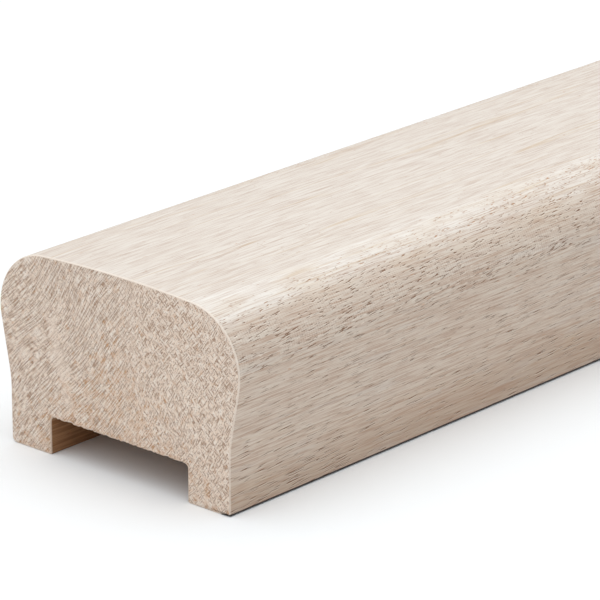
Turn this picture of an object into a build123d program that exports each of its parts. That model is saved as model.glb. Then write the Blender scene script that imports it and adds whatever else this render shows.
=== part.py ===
"""One length of moulded hardwood handrail with a flat plough along its underside.

The rail lies along Y on its two feet, with Z up. The origin is in the middle of the
underside, level with the feet. All sizes are in millimetres.
"""

import os
from math import asin, atan2, degrees, hypot, sqrt

from build123d import *

# Length of the piece, and the size of its section over all
rail_length = 1200.0
rail_width = 65.0
rail_height = 42.5

# The crown is almost flat, and rolls over into a round shoulder on each side
crown_radius = 300.0
shoulder_radius = 13.0

# Below the shoulder the side slopes in to the waist, and a shallow cove turns it
# upright. The foot height is where the slope would meet the upright side
foot_breadth = 59.8
foot_height = 13.8
cove_radius = 25.0

# The plough runs the whole length of the underside, between the two feet
plough_width = 37.5
plough_depth = 8.0
plough_corner_radius = 0.9

# Long arrises at the bottom of the feet: a heel outside and a lip beside the plough
left_heel_radius = 1.2
left_lip_radius = 0.3
right_lip_radius = 0.4
right_heel_radius = 0.4

# Sanding takes the sharpness off the outline of both sawn ends
end_bevel = 0.25


# The crown's centre is far below the rail. The shoulder arc touches the crown from
# inside and reaches half the width, so its centre follows from the two radii
crown_centre_z = rail_height - crown_radius
shoulder_centre_x = rail_width / 2 - shoulder_radius
shoulder_centre_z = crown_centre_z + sqrt((crown_radius - shoulder_radius) ** 2 - shoulder_centre_x**2)
crown_half_turn = degrees(asin(shoulder_centre_x / (crown_radius - shoulder_radius)))

# The slope is the line from the break above the foot that touches the shoulder arc on
# its outer side, and its lean is its angle from upright
break_x = foot_breadth / 2
centre_distance = hypot(shoulder_centre_x - break_x, shoulder_centre_z - foot_height)
centre_angle = atan2(shoulder_centre_z - foot_height, shoulder_centre_x - break_x)
waist_lean = 90 - degrees(centre_angle - asin(shoulder_radius / centre_distance))

# Corners of the feet from left to right, as X and radius
foot_corners = [
    (-foot_breadth / 2, left_heel_radius),
    (-plough_width / 2, left_lip_radius),
    (plough_width / 2, right_lip_radius),
    (foot_breadth / 2, right_heel_radius),
]

# The bevel has to stay smaller than the smallest round that it runs across
smallest_round = min(radius for _, radius in foot_corners)
bevel = min(end_bevel, 0.85 * smallest_round)


with BuildPart() as handrail:
    with BuildSketch(Plane.XZ) as section:
        # Right half of the outline, from the top of the crown down to the underside
        with BuildLine() as outline:
            crown = CenterArc((0, crown_centre_z), crown_radius, 90, -crown_half_turn)
            shoulder = CenterArc(
                (shoulder_centre_x, shoulder_centre_z),
                shoulder_radius,
                90 - crown_half_turn,
                crown_half_turn - 90 - waist_lean,
            )
            slope = Line(shoulder @ 1, (foot_breadth / 2, foot_height))
            side = Line(slope @ 1, (foot_breadth / 2, 0))
            underside = Line(side @ 1, (0, 0))
            mirror(about=Plane.YZ)
        make_face()

        # Coves where the slopes meet the upright sides
        breaks = section.vertices().filter_by(lambda corner: abs(corner.Y - foot_height) < 0.001)
        fillet(breaks, radius=cove_radius)

        # The plough is a flat-bottomed channel, with a cutter's small round in each corner
        Rectangle(plough_width, 2 * plough_depth, mode=Mode.SUBTRACT)
        plough_corners = section.vertices().filter_by(
            lambda corner: abs(corner.Y - plough_depth) < 0.001 and abs(corner.X) < plough_width
        )
        fillet(plough_corners, radius=plough_corner_radius)

        # The four long arrises of the feet, each with its own wear
        for corner_x, radius in foot_corners:
            fillet(section.vertices().sort_by_distance((corner_x, 0))[0], radius=radius)

    extrude(amount=rail_length / 2, both=True)

    # A fine bevel round the outline of each sawn end
    ends = handrail.faces().filter_by(Axis.Y)
    chamfer(ends.edges(), length=bevel)

handrail.part.label = "handrail"

os.makedirs("parts", exist_ok=True)
export_step(handrail.part, "parts/handrail.step")
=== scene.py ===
"""Looks of a moulded hardwood handrail, laid out as a Blender add-on.

The rail is one closed mesh: the moulded section is worked out from its arcs, carried
along Y, bevelled at both sawn ends and closed there by ruled surfaces. It has two
finishes, planed long grain and sawn end grain, both made of noise in the wood's own
place. Lengths are in metres in the mesh and on the stage, and in millimetres in the
finishes.
"""

from math import asin, atan2, cos, hypot, pi, radians, sin, sqrt

import bpy
import numpy as np
from bpy.props import FloatProperty, FloatVectorProperty, PointerProperty
from bpy.types import Operator, Panel, PropertyGroup
from mathutils import Matrix, Vector


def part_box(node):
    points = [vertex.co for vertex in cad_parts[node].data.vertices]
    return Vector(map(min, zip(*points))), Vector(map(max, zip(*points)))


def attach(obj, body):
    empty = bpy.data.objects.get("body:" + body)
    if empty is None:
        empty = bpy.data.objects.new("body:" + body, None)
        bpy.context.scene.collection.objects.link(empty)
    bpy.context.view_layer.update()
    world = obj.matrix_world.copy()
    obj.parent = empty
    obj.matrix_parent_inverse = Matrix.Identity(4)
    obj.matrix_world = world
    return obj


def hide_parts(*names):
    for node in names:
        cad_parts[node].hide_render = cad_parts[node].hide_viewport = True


bl_info = {
    "name": "Moulded hardwood handrail",
    "version": (1, 0, 0),
    "blender": (4, 5, 0),
    "location": "3D View > Sidebar > Handrail",
    "description": "Makes a ploughed, moulded hardwood handrail and the stage it is shown on",
    "category": "Add Mesh",
}

MM = 0.001

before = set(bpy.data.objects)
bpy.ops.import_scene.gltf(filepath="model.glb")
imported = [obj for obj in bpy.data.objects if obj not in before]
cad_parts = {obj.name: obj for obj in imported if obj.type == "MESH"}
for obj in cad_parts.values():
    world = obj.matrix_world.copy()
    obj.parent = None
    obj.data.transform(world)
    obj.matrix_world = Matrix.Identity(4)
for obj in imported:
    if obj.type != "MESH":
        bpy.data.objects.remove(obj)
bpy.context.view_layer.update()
RAIL_LOW, RAIL_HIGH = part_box("handrail")
RAIL_SIZE = RAIL_HIGH - RAIL_LOW


def linear(hex_colour):
    """Scene-linear red, green and blue of an sRGB colour written as hex."""
    levels = np.array([int(hex_colour[i : i + 2], 16) for i in (1, 3, 5)]) / 255
    low = levels / 12.92
    high = ((levels + 0.055) / 1.055) ** 2.4
    return tuple(float(value) for value in np.where(levels <= 0.04045, low, high))


def size(name, description, default):
    """A length that a user can set, in metres."""
    return FloatProperty(
        name=name, description=description, default=default, min=0.0, unit="LENGTH", precision=5
    )


def tint(name, description, hex_colour):
    """A colour that a user can set."""
    return FloatVectorProperty(
        name=name,
        description=description,
        default=linear(hex_colour),
        subtype="COLOR",
        size=3,
        min=0.0,
        max=1.0,
    )


class RailShape(PropertyGroup):
    """Sizes of the moulded section and of the rail's length"""

    length: size("Length", "Length between the sawn ends", RAIL_SIZE.y)
    width: size("Width", "Width across the shoulders", RAIL_SIZE.x)
    height: size("Height", "Feet to the top of the crown", RAIL_SIZE.z)
    crown_radius: size("Crown radius", "Radius of the nearly flat top", 300 * MM)
    shoulder_radius: size("Shoulder radius", "Radius of the round shoulders", 13 * MM)
    foot_breadth: size("Foot breadth", "Width across the upright feet", 59.8 * MM)
    foot_height: size("Foot height", "Height where the slope meets the upright foot", 13.8 * MM)
    cove_radius: size("Cove radius", "Radius of the hollow above the foot", 25 * MM)
    plough_width: size("Plough width", "Width of the channel underneath", 37.5 * MM)
    plough_depth: size("Plough depth", "Depth of the channel underneath", 8 * MM)
    plough_corner: size("Plough corner", "Cutter's round in the channel's corners", 0.9 * MM)
    left_heel: size("Left heel", "Round on the left foot's outer arris", 1.2 * MM)
    left_lip: size("Left lip", "Round on the left foot's inner arris", 0.3 * MM)
    right_lip: size("Right lip", "Round on the right foot's inner arris", 0.4 * MM)
    right_heel: size("Right heel", "Height of the right foot's worn outer arris", 0.3 * MM)
    heel_wear: size("Heel wear", "Reach of that wear under the foot", 2.2 * MM)
    end_bevel: size("End bevel", "Worn arris round both sawn ends", 0.25 * MM)
    chip_height: size("Chip height", "Highest torn chip over the plough's near mouth", 0.35 * MM)


class RailFinish(PropertyGroup):
    """Colours of the bare hardwood, and of light and shade painted on it"""

    pale: tint("Pale wood", "Close, smooth wood of the crown", "#EEE5D9")
    # Partly a painted highlight: the right shoulder's pale layer also stands in for the light on it
    pale_layer_and_highlight: tint("Densest wood", "Smooth pale layer that comes out on the shoulder", "#F7F1E7")
    # Partly painted shade: porous, tan and foot darken the section from the shoulder down to the feet,
    # besides the wood's own tone
    porous: tint("Porous wood", "Layer of open vessels round the shoulder", "#DCCEBE")
    tan: tint("Tan wood", "Browner wood of the side", "#E2D4C4")
    foot: tint("Foot wood", "Brownest wood, at the feet", "#CCB8A4")
    streak: tint("Streak", "Fine growth lines along the grain", "#B8967E")
    pore: tint("Pore", "Open vessels cut by the cutter", "#7F5024")
    # Painted highlight: a pale copy of each vessel, a little lower, stands in for its lit lower edge
    lip: tint("Pore lip", "Lower edge of a vessel, which catches the light", "#F5EADB")
    stain: tint("Warm stain", "Small spots of warmer wood", "#C98F5E")
    golden: tint("Golden wood", "Ring lines, and patches on the shoulder", "#CFAE80")
    # Painted sheen: silvery patches on the side stand in for fibres that shine
    sheen_tint: tint("Cool fleck", "Silvery patches where fibres shine", "#D5D2CD")
    # Painted shade: this colour multiplies the plough's walls and roof darker
    plough: tint("Plough", "Browner wood inside the plough, multiplied", "#DCB892")
    sawn: tint("Sawn end", "End grain between its fibres", "#F2DECB")
    sawn_dark: tint("Sawn shadow", "Torn hollows of the end grain", "#9C775C")
    sawn_light: tint("Sawn fibre", "Fibre ends that catch the light", "#F8EEE2")
    sawn_orange: tint("Orange fibre", "Resin-coloured fibres in the end grain", "#BC8244")
    # Painted highlight: this pale colour lines the arrises round both sawn ends
    arris: tint("Arris", "Rubbed edge round the sawn ends", "#F8EBDC")
    # Painted contact shadow: this near-black colour lines the bottom of the right foot where it meets
    # the floor
    contact_shadow_tint: tint("Soil", "Dirt rubbed into the worn right heel", "#24140C")


class StageLook(PropertyGroup):
    """Camera, floor and light"""

    azimuth: FloatProperty(
        name="Azimuth", description="Camera round the rail", default=radians(41.894), subtype="ANGLE"
    )
    elevation: FloatProperty(
        name="Elevation", description="Camera over the floor", default=radians(19.732), subtype="ANGLE"
    )
    lens: FloatProperty(
        name="Focal length", description="Lens in millimetres", default=247.0, unit="CAMERA"
    )
    distance: size("Distance", "Camera to the plane of its target", 804.4 * MM)
    target_height: size("Target height", "Height of the target on the near end", 20 * MM)
    aim_right: size("Aim right", "Camera's axis passes right of the target by this", 35.72 * MM)
    aim_up: size("Aim up", "Camera's axis passes above the target by this", 16.34 * MM)
    floor_colour: tint("Floor", "Plain pale floor", "#FCFEFE")
    floor_bounce: tint("Floor bounce", "What the floor throws back on the rail", "#E6E4E2")
    dome: tint("Dome", "Colour of the soft light from all round", "#FAFCFF")
    dome_zenith: FloatProperty(
        name="Dome overhead", description="Strength of the dome overhead", default=1.60, min=0.0
    )
    dome_horizon: FloatProperty(
        name="Dome at the sides", description="Strength of the dome at the sides", default=0.36, min=0.0
    )
    dome_front: FloatProperty(
        name="Dome in front", description="What the dome adds low in front", default=0.39, min=0.0
    )
    lamp: tint("Lamp", "Colour of the wide lamp", "#FFFEFC")
    lamp_strength: FloatProperty(
        name="Lamp strength", description="Strength of the wide lamp", default=0.286, min=0.0
    )
    lamp_breadth: FloatProperty(
        name="Lamp breadth", description="Angle the lamp fills", default=radians(60), subtype="ANGLE"
    )
    lamp_left: FloatProperty(
        name="Lamp left", description="Lamp's lean to the left", default=radians(10), subtype="ANGLE"
    )
    lamp_front: FloatProperty(
        name="Lamp front", description="Lamp's lean to the front", default=radians(0), subtype="ANGLE"
    )


# Shape of the rail


def arc(centre, radius, start, stop, count):
    """Points centre + radius * (cos t, sin t), with t even from start up to, not with, stop.

    The radius is one number, or a pair across and up.
    """
    turn = np.linspace(start, stop, count, endpoint=False)
    return np.array(centre) + np.array(radius) * np.stack([np.cos(turn), np.sin(turn)], -1)


def straight(first, last, count):
    """Points first + s * (last - first), with s even from 0 up to, not with, 1."""
    share = np.linspace(0, 1, count, endpoint=False)[:, None]
    return (1 - share) * np.array(first) + share * np.array(last)


# Steps of each stretch of half the outside and half the plough. The plough's roof takes
# what is left over, so that both halves have as many points
HEEL_STEPS, SIDE_STEPS, COVE_STEPS, SLOPE_STEPS, SHOULDER_STEPS, CROWN_STEPS = 8, 12, 12, 10, 60, 96
LIP_STEPS, WALL_STEPS, CORNER_STEPS = 6, 52, 12
HALF_STEPS = HEEL_STEPS + SIDE_STEPS + COVE_STEPS + SLOPE_STEPS + SHOULDER_STEPS + CROWN_STEPS
ROOF_STEPS = HALF_STEPS - LIP_STEPS - WALL_STEPS - CORNER_STEPS


def outer_half(shape, heel, wear, fullness):
    """Right half of the outside, from the middle of the crown down to the heel.

    Crown and shoulder are arcs that touch. The slope touches the shoulder arc and, by way
    of the cove, the upright side of the foot. The heel is (side - wear + wear cos^p t,
    heel - heel sin^p t) for t from 0 to 90 degrees, which is a quarter of an ellipse where
    the fullness p is 1 and a flat slope where it is 2.
    """
    shoulder_x = shape.width / 2 - shape.shoulder_radius
    crown_z = shape.height - shape.crown_radius
    reach = shape.crown_radius - shape.shoulder_radius
    shoulder_z = crown_z + sqrt(reach**2 - shoulder_x**2)
    crown_turn = asin(shoulder_x / reach)
    side_x = shape.foot_breadth / 2
    to_centre = atan2(shoulder_z - shape.foot_height, shoulder_x - side_x)
    span = hypot(shoulder_x - side_x, shoulder_z - shape.foot_height)
    lean = pi / 2 - (to_centre - asin(shape.shoulder_radius / span))
    cove_reach = shape.cove_radius * np.tan(lean / 2)
    cove_centre = (side_x + shape.cove_radius, shape.foot_height - cove_reach)
    slope_top = (
        shoulder_x + shape.shoulder_radius * cos(lean),
        shoulder_z - shape.shoulder_radius * sin(lean),
    )
    slope_foot = (
        cove_centre[0] - shape.cove_radius * cos(lean),
        cove_centre[1] + shape.cove_radius * sin(lean),
    )
    quarter = arc((0, 0), 1, 0, pi / 2, HEEL_STEPS) ** fullness
    return np.concatenate(
        [
            arc((0, crown_z), shape.crown_radius, pi / 2, pi / 2 - crown_turn, CROWN_STEPS),
            arc(
                (shoulder_x, shoulder_z),
                shape.shoulder_radius,
                pi / 2 - crown_turn,
                -lean,
                SHOULDER_STEPS,
            ),
            straight(slope_top, slope_foot, SLOPE_STEPS),
            arc(cove_centre, shape.cove_radius, pi - lean, pi, COVE_STEPS),
            straight((side_x, cove_centre[1]), (side_x, heel), SIDE_STEPS),
            np.array((side_x - wear, heel)) + (wear, -heel) * quarter,
            [(side_x - wear, 0)],
        ]
    )


def inner_half(shape, lip):
    """Right half of the plough, from the middle of its roof out and down to the lip."""
    wall_x, roof_z, corner = shape.plough_width / 2, shape.plough_depth, shape.plough_corner
    return np.concatenate(
        [
            straight((0, roof_z), (wall_x - corner, roof_z), ROOF_STEPS),
            arc((wall_x - corner, roof_z - corner), corner, pi / 2, 0, CORNER_STEPS),
            straight((wall_x, roof_z - corner), (wall_x, lip), WALL_STEPS),
            arc((wall_x + lip, lip), lip, pi, 3 * pi / 2, LIP_STEPS),
            [(wall_x + lip, 0)],
        ]
    )


def whole(left_half, right_half):
    """Both halves as one line from left to right; the left one is mirrored."""
    return np.concatenate([left_half[:0:-1] * (-1, 1), right_half])


# Steps across an end from the outside to the plough, and the rim beside its bevel over
# which the worn arris fades out
RULE_STEPS = 12
ARRIS_RIM = 0.08 * MM


def rulings(outer, inner):
    """Points on the straight lines from each outer point to its inner one, shape (n, steps + 1, 2).

    The first and the last step are the width of the arris rim, and those between are even.
    """
    reach = np.linalg.norm(inner - outer, axis=1)[:, None]
    rim = ARRIS_RIM / reach
    even = np.linspace(0, 1, RULE_STEPS - 1)[None, :]
    share = np.concatenate([0 * rim, rim + (1 - 2 * rim) * even, 0 * rim + 1], 1)[..., None]
    return (1 - share) * outer[:, None] + share * inner[:, None]


def section_loop(grid):
    """The closed outline, clockwise from the near end: outside, right foot, plough, left foot."""
    right_foot, left_foot = grid[-1, 1:-1], grid[0, 1:-1]
    return np.concatenate([grid[:, 0], right_foot, grid[::-1, -1], left_foot[::-1]])


def border_index(count):
    """Where the border of a ruled grid of count lines lies in the loop; -1 inside the grid."""
    index = np.full((count, RULE_STEPS + 1), -1)
    inside = RULE_STEPS - 1
    index[:, 0] = np.arange(count)
    index[-1, 1:-1] = count + np.arange(inside)
    index[:, -1] = 2 * count + inside - 1 - np.arange(count)
    index[0, 1:-1] = 2 * (count + inside) - 1 - np.arange(inside)
    return index


def inward(loop):
    """Unit vectors square to the loop that point into the wood, from the chord at each point."""
    chord = np.roll(loop, -1, 0) - np.roll(loop, 1, 0)
    square = np.stack([chord[:, 1], -chord[:, 0]], -1)
    return square / np.linalg.norm(square, axis=1)[:, None]


WANDER_LENGTH = 4096


def wander(places, pitch, seed):
    """Smooth seeded noise from -1 to 1: random values every pitch, joined by cosine curves.

    It repeats after WANDER_LENGTH values.
    """
    values = np.random.default_rng(seed).uniform(-1, 1, WANDER_LENGTH)
    step = places / pitch
    first = np.floor(step).astype(int)
    share = (1 - np.cos(pi * (step - first))) / 2
    return values[first % WANDER_LENGTH] * (1 - share) + values[(first + 1) % WANDER_LENGTH] * share


# Stations in each bevel and between the bevels
BEVEL_STATIONS = 4
MIDDLE_STATIONS = 37
# The torn mouth: how far it goes in, its stations beyond the bevel, the breadth of its
# chips and of the fibres in them, and how far below the roof its lift fades out
CHIP_REACH = 0.9 * MM
CHIP_STATIONS = np.array([0.25, 0.55, 1.0, 1.6, 2.6]) * MM
CHIP_BREADTH = 0.9 * MM
FIBRE_BREADTH = 0.3 * MM
ROOF_FADE = 0.3 * MM
# Mean lift as a share of the chip height, and what chips and fibres add to it
MEAN_LIFT, CHIP_LIFT, FIBRE_LIFT = 0.3, 0.25, 0.8
# Where in the noise the middle of the rail lies
NOISE_START = 0.1


def stations(shape):
    """Places along the rail, how far the loop is set in there, and where the arris is worn.

    In each bevel the loop follows a quarter round: set in by b (1 - sin t) at b (1 - cos t).
    """
    turn = np.linspace(0, pi / 2, BEVEL_STATIONS)
    into, set_in = shape.end_bevel * (1 - np.cos(turn)), shape.end_bevel * (1 - np.sin(turn))
    rim = shape.end_bevel + ARRIS_RIM
    near = np.concatenate([into, [rim], rim + CHIP_STATIONS])
    middle = np.linspace(-0.5, 0.5, MIDDLE_STATIONS + 2)[1:-1] * shape.length
    along = np.concatenate([near - shape.length / 2, middle, shape.length / 2 - near[::-1]])
    plain = np.zeros(len(along) - 2 * BEVEL_STATIONS)
    inset = np.concatenate([set_in, plain, set_in[::-1]])
    worn = np.concatenate([np.ones(BEVEL_STATIONS), plain, np.ones(BEVEL_STATIONS)])
    return along, inset, worn


def torn_mouth(shape, points):
    """Lifts the plough's roof where fibres broke out at its near mouth.

    The lift is the chip height times seeded noise along X, and falls away from the end
    as exp(-distance / reach).
    """
    x, y, z = points[..., 0], points[..., 1], points[..., 2]
    on_roof = np.clip((z - shape.plough_depth + ROOF_FADE) / ROOF_FADE, 0, 1)
    on_roof *= (z < shape.plough_depth + 2 * shape.end_bevel) & (np.abs(x) < shape.plough_width / 2)
    chips = wander(x + NOISE_START, CHIP_BREADTH, seed=11)
    fibres = wander(x + NOISE_START, FIBRE_BREADTH, seed=12)
    lift = np.clip(MEAN_LIFT + CHIP_LIFT * chips + FIBRE_LIFT * fibres, 0, 1) * shape.chip_height
    from_end = y + shape.length / 2
    points[..., 2] = z + on_roof * lift * np.exp(-from_end / CHIP_REACH)
    return points


# The body's share of the map's height, and the margin round each part of the map
BODY_SHARE = 0.78
MAP_MARGIN = 0.004


def body_map(loop, along):
    """Map corners of the body's quads: along the rail from left to right, round it from top down.

    Each place is the share of the length and of the outline's length, with even steps in
    between, so the long strip fills the lower part of the map.
    """
    steps = np.linalg.norm(np.roll(loop, -1, 0) - loop, axis=1)
    around = np.concatenate([[0], np.cumsum(steps)]) / steps.sum()
    over = MAP_MARGIN + (1 - 2 * MAP_MARGIN) * (along - along[0]) / (along[-1] - along[0])
    up = BODY_SHARE - MAP_MARGIN - (BODY_SHARE - 2 * MAP_MARGIN) * around
    places = np.stack(np.meshgrid(over, up, indexing="ij"), -1)
    corners = [places[:-1, :-1], places[:-1, 1:], places[1:, 1:], places[1:, :-1]]
    return np.stack(corners, 2).reshape(-1, 4, 2)


def end_map(shape, ruled, facing):
    """Map corners of one end's quads: the end as seen, in its own half of the upper part."""
    half = 0.25 + 0.25 * facing
    over = (ruled[..., 0] * -facing / shape.width + 0.5) * (0.5 - 2 * MAP_MARGIN)
    up = ruled[..., 2] / shape.height * (1 - BODY_SHARE - 2 * MAP_MARGIN)
    places = np.stack([half + MAP_MARGIN + over, BODY_SHARE + MAP_MARGIN + up], -1)
    corners = np.stack([places[:-1, :-1], places[1:, :-1], places[1:, 1:], places[:-1, 1:]], 2)
    corners = corners.reshape(-1, 4, 2)
    return corners if facing > 0 else corners[:, ::-1]


def rail_mesh(shape):
    """The rail as arrays: points, quads, the quads' finish, the points' wear and the map corners."""
    outer = whole(
        outer_half(shape, shape.left_heel, shape.left_heel, 1),
        outer_half(shape, shape.right_heel, shape.heel_wear, 2),
    )
    inner = whole(inner_half(shape, shape.left_lip), inner_half(shape, shape.right_lip))
    grid = rulings(outer, inner)
    loop = section_loop(grid)
    along, inset, worn = stations(shape)

    # Body: the loop at each station, set in along its normals within the bevels
    places = loop[None] + inset[:, None, None] * inward(loop)[None]
    depth = np.broadcast_to(along[:, None], places.shape[:2])
    body = torn_mouth(shape, np.stack([places[..., 0], depth, places[..., 1]], -1))
    around, stops = len(loop), len(along)
    number = np.arange(stops * around).reshape(stops, around)
    beside = np.roll(number, -1, 1)
    body_quads = np.stack([number[:-1], beside[:-1], beside[1:], number[1:]], -1).reshape(-1, 4)

    # Ends: a ruled grid inside the first and the last station, with the grid's own shares
    border = border_index(len(outer))
    reach = np.linalg.norm(inner - outer, axis=1)[:, None, None]
    share = np.linalg.norm(grid - grid[:, :1], axis=2, keepdims=True) / reach
    points, quads, wear = [body.reshape(-1, 3)], [body_quads], [np.repeat(worn, around)]
    corners = [body_map(loop, along)]
    count = stops * around
    for station, facing in ((0, -1), (stops - 1, 1)):
        first, last = body[station][border[:, 0]], body[station][border[:, -1]]
        ruled = (1 - share) * first[:, None] + share * last[:, None]
        index = np.where(border >= 0, number[station][border], 0)
        new = border < 0
        index[new] = count + np.arange(new.sum())
        count += new.sum()
        points.append(ruled[new])
        wear.append(np.zeros(new.sum()))
        end_quads = np.stack([index[:-1, :-1], index[1:, :-1], index[1:, 1:], index[:-1, 1:]], -1)
        end_quads = end_quads.reshape(-1, 4)
        quads.append(end_quads if facing > 0 else end_quads[:, ::-1])
        corners.append(end_map(shape, ruled, facing))
    finish = np.concatenate([np.zeros(len(body_quads)), np.ones(len(quads[1]) + len(quads[2]))])
    return (
        np.concatenate(points),
        np.concatenate(quads),
        finish.astype(np.int32),
        np.concatenate(wear),
        np.concatenate(corners),
    )


def add_object(name, points, quads):
    """A mesh object from arrays of points and quads, with smooth shading up to 35 degrees."""
    mesh = bpy.data.meshes.new(name)
    mesh.from_pydata(points, [], quads)
    mesh.polygons.foreach_set("use_smooth", np.ones(len(quads), bool))
    mesh.set_sharp_from_angle(angle=radians(35))
    made = bpy.data.objects.new(name, mesh)
    bpy.context.scene.collection.objects.link(made)
    return made


# Finishes


def add(tree, kind, links=None, **settings):
    """Adds one node and gives its outputs.

    Links maps an input's name or number to a number, to a vector or a colour of three, or
    to an output of another node. Settings are the node's own.
    """
    made = tree.nodes.new("ShaderNode" + kind)
    for name, value in settings.items():
        setattr(made, name, value)
    for name, value in (links or {}).items():
        socket = made.inputs[name]
        if isinstance(value, bpy.types.NodeSocket):
            tree.links.new(value, socket)
        elif socket.type == "RGBA":
            socket.default_value = (*value, 1.0)
        else:
            socket.default_value = value
    return made.outputs


def new_material(name):
    """An empty material with nodes."""
    material = bpy.data.materials.new(name)
    material.use_nodes = True
    material.node_tree.nodes.clear()
    return material


def total(tree, *numbers):
    """Several numbers added."""
    value = numbers[0]
    for number in numbers[1:]:
        value = add(tree, "Math", {0: value, 1: number}, operation="ADD")[0]
    return value


STEP_INPUTS = ("Value", "From Min", "From Max", "To Min", "To Max")


def product(tree, *factors):
    """Several factors multiplied, each a number or a smooth step.

    A step (value, low, high) is 0 where value is at low or beyond it, 1 at high or beyond
    it, and 3 s^2 - 2 s^3 at the share s of the way. It may give two more numbers, which
    take the place of 0 and 1.
    """
    value = None
    for factor in factors:
        if isinstance(factor, tuple):
            step = dict(zip(STEP_INPUTS, factor))
            factor = add(tree, "MapRange", step, interpolation_type="SMOOTHSTEP")[0]
        if value is None:
            value = factor
        else:
            value = add(tree, "Math", {0: value, 1: factor}, operation="MULTIPLY")[0]
    return value


def coated(tree, ground, *coats):
    """A ground's colour under coats, laid on in order. A coat is how much of it, and its colour."""
    colour = ground
    for amount, coat in coats:
        colour = add(tree, "Mix", {0: amount, 6: colour, 7: coat}, data_type="RGBA")[2]
    return colour


def noise(tree, place, cell, detail=2.0, shift=(0.0, 0.0, 0.0), lean=0.0, rise=0.0):
    """Noise, mostly from 0.3 to 0.7, in cells of a size in millimetres across, along and up.

    Lean turns the cells in the plane of the end, from level towards upright. Rise tips them
    upwards from the near end to the far one.
    """
    links = {"Vector": place, "Scale": cell, "Location": shift, "Rotation": (rise, -lean, 0.0)}
    in_cells = add(tree, "Mapping", links, vector_type="TEXTURE")[0]
    return add(tree, "TexNoise", {"Vector": in_cells, "Scale": 1.0, "Detail": detail})[0]


# Slow bend of the fibres in millimetres, across, along and up, and the cells it changes in
BEND = (8.0, 0.0, 8.0)
BEND_CELL = (30.0, 95.0, 30.0)
# Centre of the shoulder's round in millimetres, which the growth layers lie round
SHOULDER_ACROSS = 19.5
SHOULDER_UP = 28.9
# The near end and the plough, in millimetres
NEAR = -500.0 * RAIL_SIZE.y
PLOUGH_SIDE = 18.75
PLOUGH_ROOF = 8.0
# Ring borders in each unit of the slow noise
RING_BORDERS = 5.0
# Cut vessels are about 0.2 mm wide and rise a little towards the far end, the short ones
# more than the long ones. A painted highlight for the lit lower edge of a vessel lies this far down from
# it
SHORT_VESSEL, SHORT_RISE = (0.2, 2.6, 0.2), radians(7)
LONG_VESSEL, LONG_RISE = (0.19, 4.5, 0.19), radians(4)
LIP_HIGHLIGHT_DOWN = 0.13
# The cutter's ripples are this far apart
RIPPLE_PITCH = 0.65
# The fibres run straight into the sawn end, so its cells are this long along the rail
FIBRE_RUN = 60.0
# The pale ray's own direction across it, as its parts across and up
RAY_ACROSS, RAY_UP = 0.959, 0.283


def wood_place(tree):
    """Place in millimetres, and the same with the fibres a little bent.

    Slow noise moves the bent place sideways and up by BEND times its distance from 0.5.
    """
    place = add(tree, "TexCoord")["Object"]
    place = add(tree, "VectorMath", {0: place, "Scale": 1 / MM}, operation="SCALE")[0]
    slow = add(tree, "Mapping", {"Vector": place, "Scale": BEND_CELL}, vector_type="TEXTURE")[0]
    slow = add(tree, "TexNoise", {"Vector": slow, "Scale": 1.0, "Detail": 1.0})["Color"]
    away = add(tree, "VectorMath", {0: slow, 1: (0.5, 0.5, 0.5)}, operation="SUBTRACT")[0]
    bend = add(tree, "VectorMath", {0: away, 1: BEND}, operation="MULTIPLY")[0]
    bent = add(tree, "VectorMath", {0: place, 1: bend}, operation="ADD")[0]
    return place, bent


def turn_round_shoulder(tree, outward, up):
    """Degrees round the shoulder's centre: 0 straight above it, 90 outside, over 100 on the side."""
    sides = {0: total(tree, outward, -SHOULDER_ACROSS), 1: total(tree, up, -SHOULDER_UP)}
    turn = add(tree, "Math", sides, operation="ARCTAN2")[0]
    return add(tree, "Math", {0: turn}, operation="DEGREES")[0]


def finish_wood(tree, colour, rough, height, depth, sheen):
    """Bare wood: a rough dielectric with a trace of fuzz, and the pattern's height as bump."""
    bump = add(tree, "Bump", {"Height": height, "Distance": depth, "Strength": 1.0})[0]
    surface = {
        "Base Color": colour,
        "Roughness": rough,
        "Normal": bump,
        "IOR": 1.45,
        "Specular IOR Level": 0.4,
        "Sheen Weight": sheen,
        "Sheen Roughness": 0.5,
    }
    shader = add(tree, "BsdfPrincipled", surface)[0]
    add(tree, "OutputMaterial", {"Surface": shader})


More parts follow.
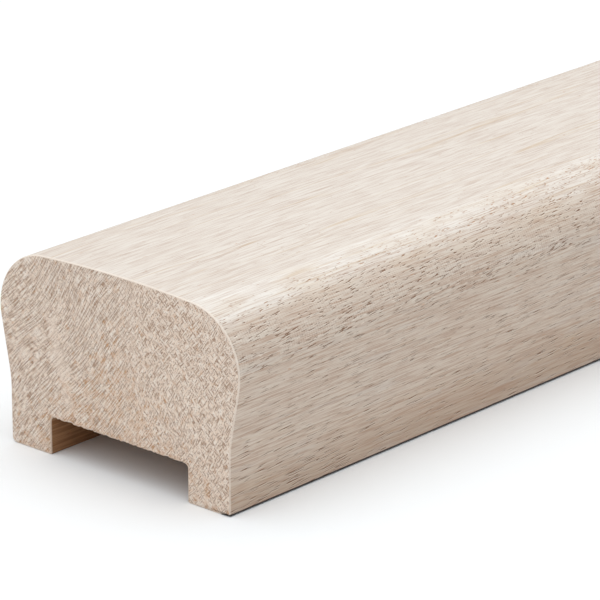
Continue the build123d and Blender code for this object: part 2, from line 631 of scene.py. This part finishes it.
def planed_hardwood(finish):
    """Pale open-pored hardwood off the moulder: smooth, matt, with cut vessels as dark dashes.

    Turn is in degrees round the shoulder: the crown lies below 0, and the side over 100.
    """
    material = new_material("planed_hardwood")
    tree = material.node_tree
    place, bent = wood_place(tree)
    across, along, up = add(tree, "SeparateXYZ", {0: place})
    outward = add(tree, "Math", {0: across}, operation="ABSOLUTE")[0]
    arris = add(tree, "Attribute", attribute_name="arris")["Fac"]

    # Growth layers: pale and close above, browner towards the feet, partly the wood's own tone and
    # partly painted shade. A dense pale layer comes out on the right shoulder only, partly the wood's
    # tone and partly a painted highlight, and a porous one lies below it. The dense one's lower border
    # and the first vessels lie a little lower near the end
    waver = noise(tree, place, (9.0, 42.0, 9.0), 2.0, (2.0, 1.0, 4.0))
    waver = product(tree, total(tree, waver, -0.5), 40.0)
    turn = total(tree, turn_round_shoulder(tree, outward, up), waver)
    layer = total(tree, turn, product(tree, (along, NEAR + 15.0, NEAR + 70.0, 0.0, 20.0)))
    pale_layer_and_highlight = product(tree, (turn, -6.0, 12.0), (layer, 62.0, 25.0), (across, -15.0, 0.0))
    # Partly painted shade: these darken the wood from the shoulder down to the feet
    tan = product(tree, (turn, 29.0, 72.0))
    porous = product(tree, (turn, 26.0, 66.0), (turn, 110.0, 84.0))
    foot = product(tree, (add(tree, "SeparateXYZ", {0: bent})["Z"], 16.0, 1.0))
    colour = coated(
        tree,
        finish.pale,
        (pale_layer_and_highlight, finish.pale_layer_and_highlight),
        (tan, finish.tan),
        (porous, finish.porous),
        (foot, finish.foot),
    )

    # Fibres of three sizes, from 0.15 to 0.42 mm wide, run along the grain, fainter on the
    # crown and in the dense layer. Ring borders are thin golden lines where slow noise
    # passes one of its levels: its sine is nearly 0 there
    busy = product(tree, (turn, 0.0, 60.0, 0.62, 1.0), total(tree, 1.0, product(tree, pale_layer_and_highlight, -0.2)))
    lines = noise(tree, place, (0.42, 26.0, 0.42), 2.0)
    strands = noise(tree, place, (0.2, 12.0, 0.2), 1.0, (5.0, 1.0, 0.0))
    fibre = noise(tree, place, (0.15, 7.0, 0.15), 1.0)
    rings = noise(tree, place, (4.0, 150.0, 4.0), 1.0, (3.0, 2.0, 8.0))
    rings = add(tree, "Math", {0: product(tree, rings, RING_BORDERS * pi)}, operation="SINE")[0]
    rings = add(tree, "Math", {0: rings}, operation="ABSOLUTE")[0]
    seen = noise(tree, place, (3.0, 40.0, 3.0), 2.0, (7.0, 1.0, 2.0))
    borders = product(tree, (rings, 0.26, 0.04), (seen, 0.42, 0.6, 0.06, 0.38))
    borders = product(tree, borders, (turn, 70.0, 30.0, 0.3, 1.0))
    colour = coated(
        tree,
        colour,
        (product(tree, (lines, 0.50, 0.64, 0.0, 0.22), busy), finish.streak),
        (product(tree, (strands, 0.55, 0.64, 0.0, 0.6), busy), finish.streak),
        (product(tree, (fibre, 0.50, 0.64, 0.0, 0.6), busy), finish.streak),
        (borders, finish.golden),
    )

    # Golden patches on the shoulder, painted silvery sheen below it, and warm spots
    golden = noise(tree, place, (2.5, 14.0, 2.5), 2.0, (6.0, 6.0, 1.0))
    golden = product(tree, (golden, 0.4, 0.62), (turn, -6.0, 12.0), (turn, 62.0, 40.0), 0.14)
    painted_sheen = noise(tree, place, (1.6, 24.0, 1.6), 2.0, (9.0, 5.0, 2.0))
    painted_sheen = product(tree, (painted_sheen, 0.54, 0.7), (turn, 40.0, 80.0, 0.0, 0.19))
    warm = noise(tree, place, (0.4, 3.5, 0.4), 2.0, (3.0, 8.0, 7.0))
    warm = product(tree, (warm, 0.70, 0.78), (turn, 0.0, 40.0, 0.1, 0.6))
    colour = coated(tree, colour, (golden, finish.golden), (painted_sheen, finish.sheen_tint), (warm, finish.stain))

    # Vessels cut open: short dashes crowd in the porous layer, longer ones lie below it and
    # hardly any above. More of the noise passes for a vessel where they crowd
    clumps = noise(tree, place, (2.4, 14.0, 2.4), 2.0, (1.0, 2.0, 3.0))
    crowding = total(tree, product(tree, (clumps, 0.35, 0.62), 0.6), 1.2)
    short = product(tree, (layer, 11.0, 38.0), (turn, 104.0, 84.0), crowding)
    short = product(tree, short, (turn, 30.0, 60.0, 0.074, 0.086))
    low = product(tree, (up, 14.0, 5.0))
    long = total(
        tree,
        product(tree, (turn, 60.0, 96.0), crowding, 0.055),
        product(tree, low, 0.016),
        product(tree, (along, NEAR + 70.0, NEAR + 20.0), low, 0.04),
    )
    levels = []
    for down in (0.0, LIP_HIGHLIGHT_DOWN):
        dashes = noise(tree, place, SHORT_VESSEL, 1.0, (4.0 + down, 4.0, 4.0 - down), rise=SHORT_RISE)
        longer = noise(tree, place, LONG_VESSEL, 1.0, (6.0, 2.0, 9.0 - down), rise=LONG_RISE)
        both = {0: total(tree, short, -0.12, dashes), 1: total(tree, long, -0.11, longer)}
        levels.append(add(tree, "Math", both, operation="MAXIMUM")[0])
    groove, lip = levels
    # Painted highlight: the shifted copy of the vessels is painted pale along their lower edges
    painted_lip_highlight = product(tree, (lip, 0.63, 0.69, 0.0, 0.6))
    vessel = coated(tree, finish.stain, (product(tree, (turn, 22.0, 50.0)), finish.pore))
    colour = coated(tree, colour, (painted_lip_highlight, finish.lip), (product(tree, (groove, 0.645, 0.69), 0.9), vessel))

    # The cutter left faint ripples across the grain, low on the shoulder. Their crests are
    # painted paler as a painted highlight, and the ripples go into the bump too
    ripple = product(tree, along, 2 * pi / RIPPLE_PITCH)
    ripple = add(tree, "Math", {0: ripple}, operation="SINE")[0]
    rippled = product(tree, (turn, 40.0, 55.0), (turn, 90.0, 72.0))
    patch = noise(tree, place, (4.0, 12.0, 4.0), 1.0, (8.0, 3.0, 5.0))
    ripple = product(tree, ripple, rippled, (patch, 0.40, 0.55))
    ripple_highlight = add(tree, "Math", {0: ripple, 1: 0.0}, operation="MAXIMUM")[0]
    colour = coated(tree, colour, (product(tree, ripple_highlight, 0.25), finish.lip))

    # The plough is multiplied darker and browner, which is painted shade. The ends' arrises
    # are made paler, a painted edge highlight, and the right foot's lowest side and worn heel
    # are nearly black, a painted contact shadow
    inside = product(
        tree,
        (outward, PLOUGH_SIDE + 0.55, PLOUGH_SIDE + 0.15),
        (up, PLOUGH_ROOF + 0.5, PLOUGH_ROOF + 0.2),
    )
    # Painted shade: the plough's walls and roof are multiplied darker and browner
    links = {0: inside, 6: colour, 7: finish.plough}
    colour = add(tree, "Mix", links, data_type="RGBA", blend_type="MULTIPLY")[2]
    grain = noise(tree, place, (0.34, 16.0, 0.34), 2.0, (0.0, 7.0, 3.0))
    grain = product(tree, inside, (grain, 0.4, 0.6), 0.62)
    # Painted edge highlight: the arris round the ends is made paler, more so towards the top
    rubbed = product(tree, arris, (up, 12.0, 36.0, 0.5, 0.75))
    # Painted contact shadow: the right foot's side below about half a millimetre, and its worn heel,
    # turn nearly black
    painted_contact_shadow = product(tree, (up, 0.62, 0.5), (across, 27.0, 28.0))
    colour = coated(tree, colour, (grain, finish.pore), (rubbed, finish.arris), (painted_contact_shadow, finish.contact_shadow_tint))

    # Height in parts of the bump depth: pores are cut out, fibres stand a little proud
    height = total(
        tree,
        product(tree, fibre, 0.3),
        product(tree, (groove, 0.62, 0.72, 0.0, -1.0)),
        product(tree, ripple, 0.05),
    )
    finish_wood(tree, colour, rough=0.55, height=height, depth=0.07 * MM, sheen=0.15)
    return material


def sawn_end_grain(finish):
    """The same wood sawn across: matt and rough, hatched where the teeth crossed the rays."""
    material = new_material("sawn_end_grain")
    tree = material.node_tree
    place, bent = wood_place(tree)
    across, _, up = add(tree, "SeparateXYZ", {0: place})
    outward = add(tree, "Math", {0: across}, operation="ABSOLUTE")[0]
    arris = add(tree, "Attribute", attribute_name="arris")["Fac"]

    # Four sets of strokes, drawn coarser than the rays of the real wood, which are under
    # 0.1 mm. On the left long ones rise to the right, and fainter ones fall across them. On
    # the right, patches of rising strokes lie between patches of falling ones
    patch = noise(tree, place, (1.8, FIBRE_RUN, 1.8), 2.0, (2.0, 0.0, 6.0))
    long_rising = noise(tree, bent, (2.9, FIBRE_RUN, 0.22), 0.0, lean=radians(49))
    short_rising = noise(tree, bent, (2.0, FIBRE_RUN, 0.22), 0.0, (5.0, 0.0, 2.0), radians(54))
    falling = noise(tree, bent, (1.8, FIBRE_RUN, 0.25), 0.0, (3.0, 0.0, 1.0), radians(-36))
    crossing = noise(tree, bent, (1.7, FIBRE_RUN, 0.25), 0.0, (7.0, 0.0, 5.0), radians(-44))
    rightwards = total(tree, across, product(tree, patch, 16.0))
    right = product(tree, (rightwards, 8.0, 15.0))
    left = total(tree, 1.0, product(tree, right, -1.0))
    weave = noise(tree, place, (1.1, FIBRE_RUN, 1.1), 1.0, (6.0, 0.0, 1.0))
    rises = product(tree, right, (weave, 0.44, 0.52))
    crosses = product(tree, right, (weave, 0.54, 0.46))

    # A smooth pale ray runs down the left part, leaning outwards at its top
    ray = total(
        tree,
        product(tree, across, RAY_ACROSS),
        product(tree, up, RAY_UP),
        product(tree, patch, 2.0),
        8.2,
    )
    ray = add(tree, "Math", {0: ray}, operation="ABSOLUTE")[0]
    ray = product(tree, (ray, 2.2, 0.3), (up, 8.0, 14.0), (up, 34.0, 27.0))
    plain = total(tree, 1.0, product(tree, ray, -0.6))
    plain = product(tree, plain, (patch, 0.35, 0.65, 0.8, 1.0))
    tone = noise(tree, place, (5.0, FIBRE_RUN, 5.0), 3.0)
    tone = product(tree, (tone, 0.35, 0.65, 0.0, 0.08))
    ray = product(tree, ray, 0.2)
    colour = coated(tree, finish.sawn, (tone, finish.sawn_dark), (ray, finish.sawn_light))

    # Orange fibres lie in clusters, most of them low in the middle
    low_middle = add(tree, "Math", {0: total(tree, across, 1.0)}, operation="ABSOLUTE")[0]
    low_middle = product(tree, (total(tree, low_middle, up), 38.0, 20.0, 0.0, 0.15))
    flecks = noise(tree, place, (2.0, FIBRE_RUN, 2.0), 3.0, (5.0, 0.0, 3.0))
    flecks = product(tree, (total(tree, flecks, low_middle), 0.57, 0.68))
    colour = coated(tree, colour, (product(tree, flecks, 0.18), finish.sawn_orange))
    torn = coated(tree, finish.sawn_dark, (product(tree, flecks, 0.9), finish.sawn_orange))

    # Each stroke is a torn dark side and a fibre that catches the light
    height = 0.0
    for stroke, where, amount in (
        (long_rising, left, 0.73),
        (falling, left, 0.34),
        (short_rising, rises, 0.72),
        (crossing, crosses, 0.72),
    ):
        weight = product(tree, where, plain, amount)
        dark = product(tree, (stroke, 0.46, 0.38), weight)
        light = product(tree, (stroke, 0.54, 0.62), weight)
        colour = coated(tree, colour, (dark, torn), (light, finish.sawn_light))
        height = total(tree, light, product(tree, dark, -1.0), height)

    # Pores as dark dots, a fringe of torn, warm fibres over the plough, and the arris: pale in
    # patches, which is a painted edge highlight, and browner at the top
    dots = noise(tree, place, (0.24, FIBRE_RUN, 0.24), 0.0, (9.0, 0.0, 9.0))
    dots = product(tree, (dots, 0.665, 0.72))
    fringe = product(
        tree,
        (up, PLOUGH_ROOF + 1.2, PLOUGH_ROOF + 0.2),
        (outward, PLOUGH_SIDE + 0.45, PLOUGH_SIDE + 0.05),
        0.25,
    )
    # Painted edge highlight: the end's arris is made paler in patches
    rubbed = noise(tree, place, (0.9, FIBRE_RUN, 0.9), 2.0, (4.0, 0.0, 4.0))
    rubbed = product(tree, arris, (rubbed, 0.3, 0.6, 0.2, 0.65))
    scorched = product(tree, arris, (up, 30.0, 38.0, 0.0, 0.3))
    colour = coated(
        tree,
        colour,
        (product(tree, dots, 0.85), finish.pore),
        (fringe, finish.sawn_orange),
        (rubbed, finish.arris),
        (scorched, finish.sawn_orange),
    )
    height = total(tree, height, product(tree, dots, -1.0))
    finish_wood(tree, colour, rough=0.75, height=height, depth=0.06 * MM, sheen=0.1)
    return material


class HANDRAIL_OT_make_rail(Operator):
    """Make the moulded rail in planed and sawn hardwood"""

    bl_idname = "handrail.make_rail"
    bl_label = "Moulded rail"

    def execute(self, context):
        shape = context.scene.rail_shape
        points, quads, finish, wear, corners = rail_mesh(shape)
        rail = add_object("moulded_rail", points, quads)
        rail.data.materials.append(planed_hardwood(context.scene.rail_finish))
        rail.data.materials.append(sawn_end_grain(context.scene.rail_finish))
        rail.data.polygons.foreach_set("material_index", finish)
        arris = rail.data.attributes.new("arris", "FLOAT", "POINT")
        arris.data.foreach_set("value", wear.astype(np.float32))
        # The rail's map: one strip along the body, and one part for each end. The
        # export bakes the finishes through a map of this name
        sheet = rail.data.uv_layers.new(name="OFBake", do_init=False)
        sheet.uv.foreach_set("vector", corners.ravel().astype(np.float32))
        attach(rail, "root")
        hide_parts("handrail")
        return {"FINISHED"}


# The stage

# The floor reaches this far each way, in metres, so its edge is never in view
FLOOR_REACH = 40.0


def pale_floor(look):
    """Plain matt floor, white to the eye and a little darker in what it throws back."""
    material = new_material("pale_floor")
    tree = material.node_tree
    seen = add(tree, "LightPath")["Is Camera Ray"]
    colour = coated(tree, look.floor_bounce, (seen, look.floor_colour))
    shader = add(tree, "BsdfDiffuse", {"Color": colour})[0]
    add(tree, "OutputMaterial", {"Surface": shader})
    return material


def studio_world(look):
    """A soft dome: sides + (overhead - sides) * up squared + front * forward squared.

    Up and forward are the direction's parts along +Z and -Y. What the camera sees of the
    dome is plain white.
    """
    world = bpy.data.worlds.new("soft_dome")
    bpy.context.scene.world = world
    world.use_nodes = True
    tree = world.node_tree
    tree.nodes.clear()
    direction = add(tree, "TexCoord")["Generated"]
    _, back, up = add(tree, "SeparateXYZ", {0: direction})
    up = add(tree, "Math", {0: up, 1: 0.0}, operation="MAXIMUM")[0]
    forward = add(tree, "Math", {0: back, 1: 0.0}, operation="MINIMUM")[0]
    overhead = product(tree, up, up, look.dome_zenith - look.dome_horizon)
    front = product(tree, forward, forward, look.dome_front)
    level = total(tree, overhead, front, look.dome_horizon)
    dome = add(tree, "VectorMath", {0: look.dome, "Scale": level}, operation="SCALE")[0]
    seen = add(tree, "LightPath")["Is Camera Ray"]
    colour = coated(tree, dome, (seen, (1.0, 1.0, 1.0)))
    shader = add(tree, "Background", {"Color": colour, "Strength": 1.0})[0]
    add(tree, "OutputWorld", {"Surface": shader})


def add_lamp(look):
    """A wide, soft lamp almost overhead, leaning to the left and to the front as set."""
    lamp = bpy.data.lights.new("wide_lamp", "SUN")
    lamp.energy = look.lamp_strength
    lamp.angle = look.lamp_breadth
    lamp.color = look.lamp
    holder = bpy.data.objects.new("wide_lamp", lamp)
    holder.rotation_euler = (look.lamp_front, -look.lamp_left, 0)
    bpy.context.scene.collection.objects.link(holder)


def add_camera(look, shape):
    """A long lens at the photograph's angle, aimed beside the near end."""
    around, over = look.azimuth, look.elevation
    back = Vector((sin(around) * cos(over), -cos(around) * cos(over), sin(over)))
    right = Vector((cos(around), sin(around), 0))
    up = back.cross(right)
    target = Vector((0, -shape.length / 2, look.target_height))
    place = target + right * look.aim_right + up * look.aim_up + back * look.distance
    data = bpy.data.cameras.new("long_lens")
    data.lens = look.lens
    data.sensor_width = 36.0
    data.clip_start, data.clip_end = 0.01, 100.0
    camera = bpy.data.objects.new("long_lens", data)
    turn = Matrix((right, up, back)).transposed()
    camera.matrix_world = Matrix.Translation(place) @ turn.to_4x4()
    bpy.context.scene.collection.objects.link(camera)
    bpy.context.scene.camera = camera


class HANDRAIL_OT_make_stage(Operator):
    """Make the floor, the soft light and the camera"""

    bl_idname = "handrail.make_stage"
    bl_label = "Stage"

    def execute(self, context):
        look = context.scene.stage_look
        corners = np.array([(-1, -1, 0), (1, -1, 0), (1, 1, 0), (-1, 1, 0)]) * FLOOR_REACH
        floor = add_object("pale_floor", corners, [(0, 1, 2, 3)])
        floor.data.materials.append(pale_floor(look))
        studio_world(look)
        add_lamp(look)
        add_camera(look, context.scene.rail_shape)
        context.scene.view_settings.view_transform = "Standard"
        return {"FINISHED"}


class HANDRAIL_PT_sidebar(Panel):
    """Lists the rail's and the stage's operators and settings"""

    bl_label = "Handrail"
    bl_space_type = "VIEW_3D"
    bl_region_type = "UI"
    bl_category = "Handrail"

    def draw(self, context):
        for operator, group in (
            (HANDRAIL_OT_make_rail, context.scene.rail_shape),
            (HANDRAIL_OT_make_stage, context.scene.stage_look),
        ):
            self.layout.operator(operator.bl_idname)
            for name in group.__annotations__:
                self.layout.prop(group, name)
        for name in context.scene.rail_finish.__annotations__:
            self.layout.prop(context.scene.rail_finish, name)


CLASSES = (
    RailShape,
    RailFinish,
    StageLook,
    HANDRAIL_OT_make_rail,
    HANDRAIL_OT_make_stage,
    HANDRAIL_PT_sidebar,
)


def register():
    """Registers the classes and hangs their settings on the scene."""
    for item in CLASSES:
        bpy.utils.register_class(item)
    bpy.types.Scene.rail_shape = PointerProperty(type=RailShape)
    bpy.types.Scene.rail_finish = PointerProperty(type=RailFinish)
    bpy.types.Scene.stage_look = PointerProperty(type=StageLook)


def unregister():
    """Takes the settings and the classes away again."""
    del bpy.types.Scene.stage_look
    del bpy.types.Scene.rail_finish
    del bpy.types.Scene.rail_shape
    for item in reversed(CLASSES):
        bpy.utils.unregister_class(item)


def main():
    register()
    bpy.ops.handrail.make_rail()
    bpy.ops.handrail.make_stage()


if __name__ == "__main__":
    main()
